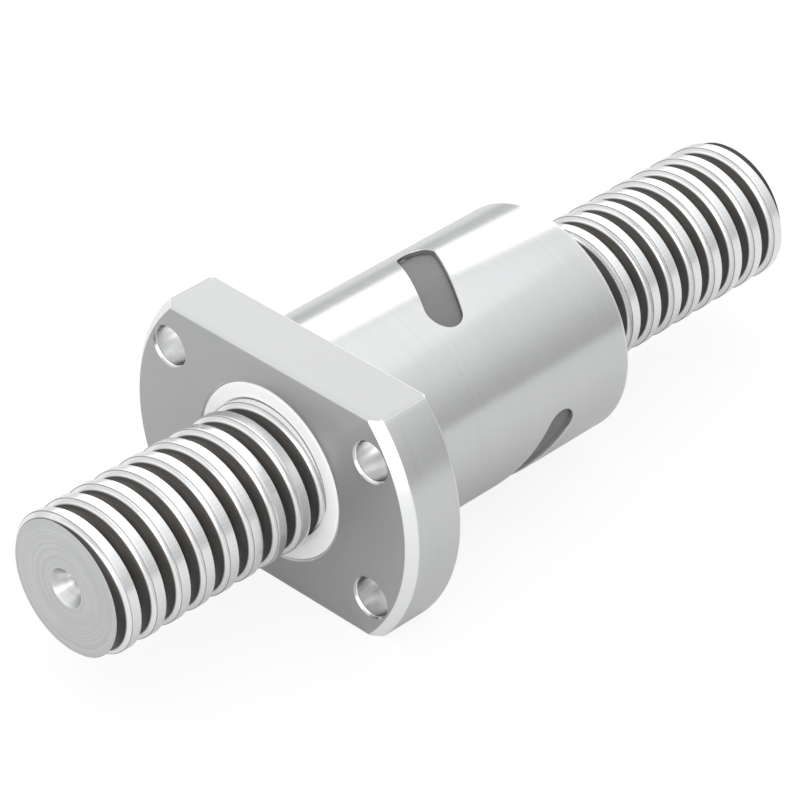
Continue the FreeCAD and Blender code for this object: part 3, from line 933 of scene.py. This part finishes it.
def rolled_steel():
    finish = Finish("rolled_steel", metallic=1.0)
    turn = finish.z.maths("ARCTAN2", finish.y) / (2 * math.pi)
    phase = ((finish.x - THREAD_X / MM) / (LEAD / MM) - turn + 0.5) % 1.0
    streaks = finish.noise(phase * 60.0, finish.y * 0.25, finish.z * 0.25, detail=4.0)
    cloud = finish.noise(finish.x * 0.2, finish.y * 0.2, finish.z * 0.2)
    end_faces = finish.step(screw_low.x / MM + END_DEPTH - finish.x, 0.0, END_FADE)
    end_faces = end_faces + finish.step(finish.x - screw_high.x / MM + END_DEPTH, 0.0, END_FADE)
    centre_holes = 1 - finish.step(finish.radius, CORE_R - CORE_FADE, CORE_R)
    bare = (end_faces + centre_holes).maths("MINIMUM", 1.0)
    turning = finish.noise((finish.radius + finish.x) * 3.2, finish.y * 0.03, finish.z * 0.03, detail=2.0)
    root = 1 - finish.step(finish.radius, ROOT_TOP_R, TRACK_BOTTOM_R)
    lip = finish.band(finish.radius, LIP_R, LIP_HALF_WIDTH) * (0.5 + streaks * 0.5)
    past_pilot = finish.radius - CENTRE_PILOT_R / MM
    pilot = 1 - finish.step(past_pilot, PILOT_WALL_FROM, PILOT_WALL_TO)
    # This darkens the groove's root and lip with painted shade and a painted dark reflection, partly a
    # brownish oil, and paints shade deep in the pilot.
    oil_and_shade = (root + lip).maths("MINIMUM", 1.0) * (1 - bare) + pilot
    oil_and_shade_tone = finish.mixed(streaks, grey(0.02, 0.1), grey(0.1, 0.08))
    rolled_tone = finish.mixed(cloud, grey(0.9), grey(0.97))
    turned_tone = finish.mixed(turning * 0.8 + cloud * 0.2, grey(0.4), grey(0.78))
    steel_tone = finish.mixed(bare, rolled_tone, turned_tone)
    finish.feed("Base Color", finish.mixed(oil_and_shade, steel_tone, oil_and_shade_tone))
    finish.feed("Roughness", 0.13 + cloud * 0.08 + streaks * 0.06 + oil_and_shade * 0.22 + bare * 0.12)
    finish.bump(streaks * (1 - bare) + turning * bare, FINE_BUMP, 0.5)
    return finish.done()


screw_finish = rolled_steel()

# %% [markdown]
# The wiper is plain white plastic with a faint moulded grain. The deflectors are sintered steel,
# dark and granular. Balls are polished, the lock rings are drawn wire, and the little stop screws
# are blackened with bright worn patches.

# %% Finishes of the small pieces
COARSE_BUMP = 0.03 * MM


def moulded_plastic():
    finish = Finish("white_plastic")
    grain = finish.noise(finish.x * 6.0, finish.y * 6.0, finish.z * 6.0, detail=5.0)
    cloud = finish.noise(finish.x * 0.3, finish.y * 0.3, finish.z * 0.3)
    finish.feed("Base Color", finish.mixed(cloud, grey(0.91, 0.004), grey(0.96)))
    finish.feed("Roughness", 0.38 + grain * 0.15)
    finish.bump(grain, FINE_BUMP, 0.5)
    return finish.done()


def sintered_steel():
    finish = Finish("sintered_steel", metallic=0.55)
    grain = finish.noise(finish.x * 7.0, finish.y * 7.0, finish.z * 7.0, detail=6.0)
    cloud = finish.noise(finish.x * 0.4, finish.y * 0.4, finish.z * 0.4)
    finish.feed("Base Color", finish.mixed(grain * 0.6 + cloud * 0.4, grey(0.13, 0.02), grey(0.25, 0.01)))
    finish.feed("Roughness", 0.42 + grain * 0.2)
    finish.bump(grain, COARSE_BUMP, 0.6)
    return finish.done()


def polished_balls():
    finish = Finish("polished_balls", metallic=1.0)
    haze = finish.noise(finish.x * 2.0, finish.y * 2.0, finish.z * 2.0)
    finish.feed("Base Color", finish.mixed(haze, grey(0.76), grey(0.84)))
    finish.feed("Roughness", 0.04 + haze * 0.05)
    return finish.done()


def drawn_wire():
    finish = Finish("drawn_wire", metallic=1.0)
    lines = finish.noise(finish.x * 16.0, finish.radius * 16.0, finish.z * 0.3)
    finish.feed("Base Color", finish.mixed(lines, grey(0.42), grey(0.6)))
    finish.feed("Roughness", 0.25 + lines * 0.15)
    finish.bump(lines, FINE_BUMP, 0.5)
    return finish.done()


def blackened_steel():
    finish = Finish("blackened_steel", metallic=0.8)
    worn = finish.noise(finish.x * 3.0, finish.y * 3.0, finish.z * 3.0, detail=5.0)
    patches = finish.step(worn, 0.6, 0.75)
    finish.feed("Base Color", finish.mixed(patches, grey(0.03), grey(0.2)))
    finish.feed("Roughness", 0.45 - patches * 0.15)
    return finish.done()


wiper_finish = moulded_plastic()
kept_finishes = {"deflector": sintered_steel(), "balls": polished_balls(), "lock_ring": drawn_wire(),
                 "stop_screw": blackened_steel()}

# %% [markdown]
# A piece that stands for a imported node says which node it replaces and which body carries it. The
# nut is one piece of steel here, as the real one is, and stands for two nodes. Nodes whose shape is
# right as it is stay, and only their material slots change.

# %% Give every piece its finish and body
def dress(piece, finish):
    piece.data.materials.clear()
    piece.data.materials.append(finish)


def place(piece, finish, body, slot, *nodes):
    dress(piece, finish)
    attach(piece, body)
    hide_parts(*nodes)


place(nut, nut_finish, "nut", "nut_steel", "nut_flange", "nut_body")
place(screw, screw_finish, "screw", "screw_steel", "screw_shaft")
place(front_wiper, wiper_finish, "nut", "wiper_plastic", "front_wiper")
place(rear_wiper, wiper_finish, "nut", "wiper_plastic", "rear_wiper")

for word, finish in kept_finishes.items():
    kept = [node for name, node in frame["nodes"].items() if word in name]
    for node in kept:
        for slot in node.material_slots:
            slot.material = finish
    print(word, "nodes kept:", len(kept))

# %% [markdown]
# The floor is a plain pale sheet a hair below the lower flat, where the nut would rest, because two
# surfaces in one plane flicker. For the camera it is lifted to white, and a share of the true shading
# stays, so a faint shadow remains. Reflections in the steel see a smaller share of that white, or the
# steel's dark edges would go. The floor turns greyer far out, in millimetres from the nut, so that the
# steel's mirrored horizon is a soft dark band and not a line.

# %% Floor
FLOOR_WIDTH = 3.0
FLOOR_GAP = 0.05 * MM
FLOOR_NEAR = 180
FLOOR_FAR = 700
FLOOR_GLOW = 1.08
WHITE_FOR_CAMERA = 0.8
WHITE_IN_METAL = 0.18


def seen_share(bench):
    """How much of the plain white a ray sees: most for the camera, a little for a reflection."""
    camera_ray = bench.node("ShaderNodeLightPath")
    glossy_ray = bench.node("ShaderNodeLightPath", output=3)
    return camera_ray * WHITE_FOR_CAMERA + glossy_ray * WHITE_IN_METAL


def floor_paint():
    finish = Finish("floor_paint")
    distance = (finish.x * finish.x + finish.y * finish.y).maths("SQRT")
    far = finish.step(distance, FLOOR_NEAR, FLOOR_FAR)
    finish.feed("Base Color", finish.mixed(far, grey(0.64), grey(0.44)))
    finish.feed("Roughness", 0.9)
    glow = finish.node("ShaderNodeEmission", None, {"Color": grey(1.0), "Strength": FLOOR_GLOW})
    lit = Wire(finish, finish.shader.outputs[0])
    both = finish.node("ShaderNodeMixShader", None, {0: seen_share(finish), 1: lit, 2: glow})
    finish.tree.links.new(both.socket, finish.tree.nodes["Material Output"].inputs[0])
    return finish.done()


half = FLOOR_WIDTH / 2
floor_z = flange_low.z - FLOOR_GAP
corners = [(-half, -half, floor_z), (half, -half, floor_z), (half, half, floor_z), (-half, half, floor_z)]
sheet = bpy.data.meshes.new("floor")
sheet.from_pydata(corners, [], [(0, 1, 2, 3)])
floor = new_object("floor", sheet)
dress(floor, floor_paint())
print("floor at", round(floor_z / MM, 2))

# %% [markdown]
# The studio is a soft dome with two large softboxes. The one behind the object is mirrored in the
# sharp white stripe along the body's top. The one in front, on the camera's side, whitens the
# flange's chamfer, the wiper and the flanks of the thread. The dome is darker at the horizon, and
# that is what gives the body its grey shading. A brighter ceiling with an edge shows on the body as
# the border between two greys. The camera itself sees plain white.

# %% Studio light
HORIZON = 0.52
OVERHEAD = 0.62
OVERHEAD_FROM = 0.85
BACK_LIFT = 0.16
BACK_FADE = (0.1, 0.8)
CEILING_EDGE = 0.73
CEILING_SOFT = 0.03
CEILING_LIFT = 0.24
DOME_TINT = -0.012
LAMP_TARGET = Vector((0.02, 0, 0))


def studio_dome():
    world = bpy.data.worlds.new("studio_dome")
    bpy.context.scene.world = world
    world.use_nodes = True
    bench = Bench(world.node_tree)
    world.node_tree.nodes.clear()
    direction = bench.node("ShaderNodeTexCoord")
    up = bench.node("ShaderNodeSeparateXYZ", None, {0: direction}, output=2)
    behind = bench.node("ShaderNodeSeparateXYZ", None, {0: direction}, output=1)
    ceiling = bench.step(up, CEILING_EDGE - CEILING_SOFT, CEILING_EDGE + CEILING_SOFT)
    strength = HORIZON + bench.step(up, 0.0, OVERHEAD_FROM) * OVERHEAD
    strength = strength + bench.step(behind, *BACK_FADE) * BACK_LIFT + ceiling * CEILING_LIFT
    dome = bench.node("ShaderNodeBackground", None, {0: grey(1.0, DOME_TINT), 1: strength})
    plain = bench.node("ShaderNodeBackground", None, {0: grey(1.0), 1: 1.0})
    camera_ray = bench.node("ShaderNodeLightPath")
    glossy_ray = bench.node("ShaderNodeLightPath", output=3)
    share = camera_ray + glossy_ray * WHITE_IN_METAL
    both = bench.node("ShaderNodeMixShader", None, {0: share, 1: dome, 2: plain})
    out = world.node_tree.nodes.new("ShaderNodeOutputWorld")
    world.node_tree.links.new(both.socket, out.inputs[0])


def softbox(name, direction, distance, width, height, radiance):
    """A rectangular lamp that faces the middle of the nut and is as bright as its radiance says."""
    lamp = bpy.data.lights.new(name, "AREA")
    lamp.shape = "RECTANGLE"
    lamp.size = width
    lamp.size_y = height
    lamp.energy = radiance * math.pi * width * height
    holder = bpy.data.objects.new(name, lamp)
    bpy.context.scene.collection.objects.link(holder)
    out = Vector(direction).normalized()
    holder.location = LAMP_TARGET + out * distance
    holder.rotation_euler = out.to_track_quat("Z", "Y").to_euler()
    holder.visible_camera = False
    print(name, "watts", round(lamp.energy, 3))


studio_dome()
softbox("back_softbox", (0.58, 0.65, 0.48), distance=0.9, width=1.1, height=0.5, radiance=0.75)
softbox("front_softbox", (-0.82, -0.52, 0.3), distance=1.1, width=1.1, height=0.8, radiance=1.6)

# %% [markdown]
# The camera was worked out from the photograph's edges, so it is given by its angles, its distance
# and the point it looks at. Its frame is square, and the lens goes with the sensor's width.

# %% Camera
CAMERA_AZIMUTH = -45.327
CAMERA_ELEVATION = 34.779
CAMERA_DISTANCE = 0.7052
CAMERA_TARGET = Vector((0.0178, 0, -0.0008))
LENS = 200.36
SENSOR_WIDTH = 36
CLIP_START = 0.01

azimuth = math.radians(CAMERA_AZIMUTH)
elevation = math.radians(CAMERA_ELEVATION)
back = Vector((math.sin(azimuth) * math.cos(elevation), -math.cos(azimuth) * math.cos(elevation),
               math.sin(elevation)))
lens = bpy.data.cameras.new("camera")
lens.lens = LENS
lens.sensor_width = SENSOR_WIDTH
lens.clip_start = CLIP_START
camera = bpy.data.objects.new("camera", lens)
bpy.context.scene.collection.objects.link(camera)
camera.location = CAMERA_TARGET + back * CAMERA_DISTANCE
camera.rotation_euler = back.to_track_quat("Z", "Y").to_euler()
bpy.context.scene.camera = camera
bpy.context.scene.view_settings.view_transform = "Standard"
print("camera at", [round(v, 4) for v in camera.location])
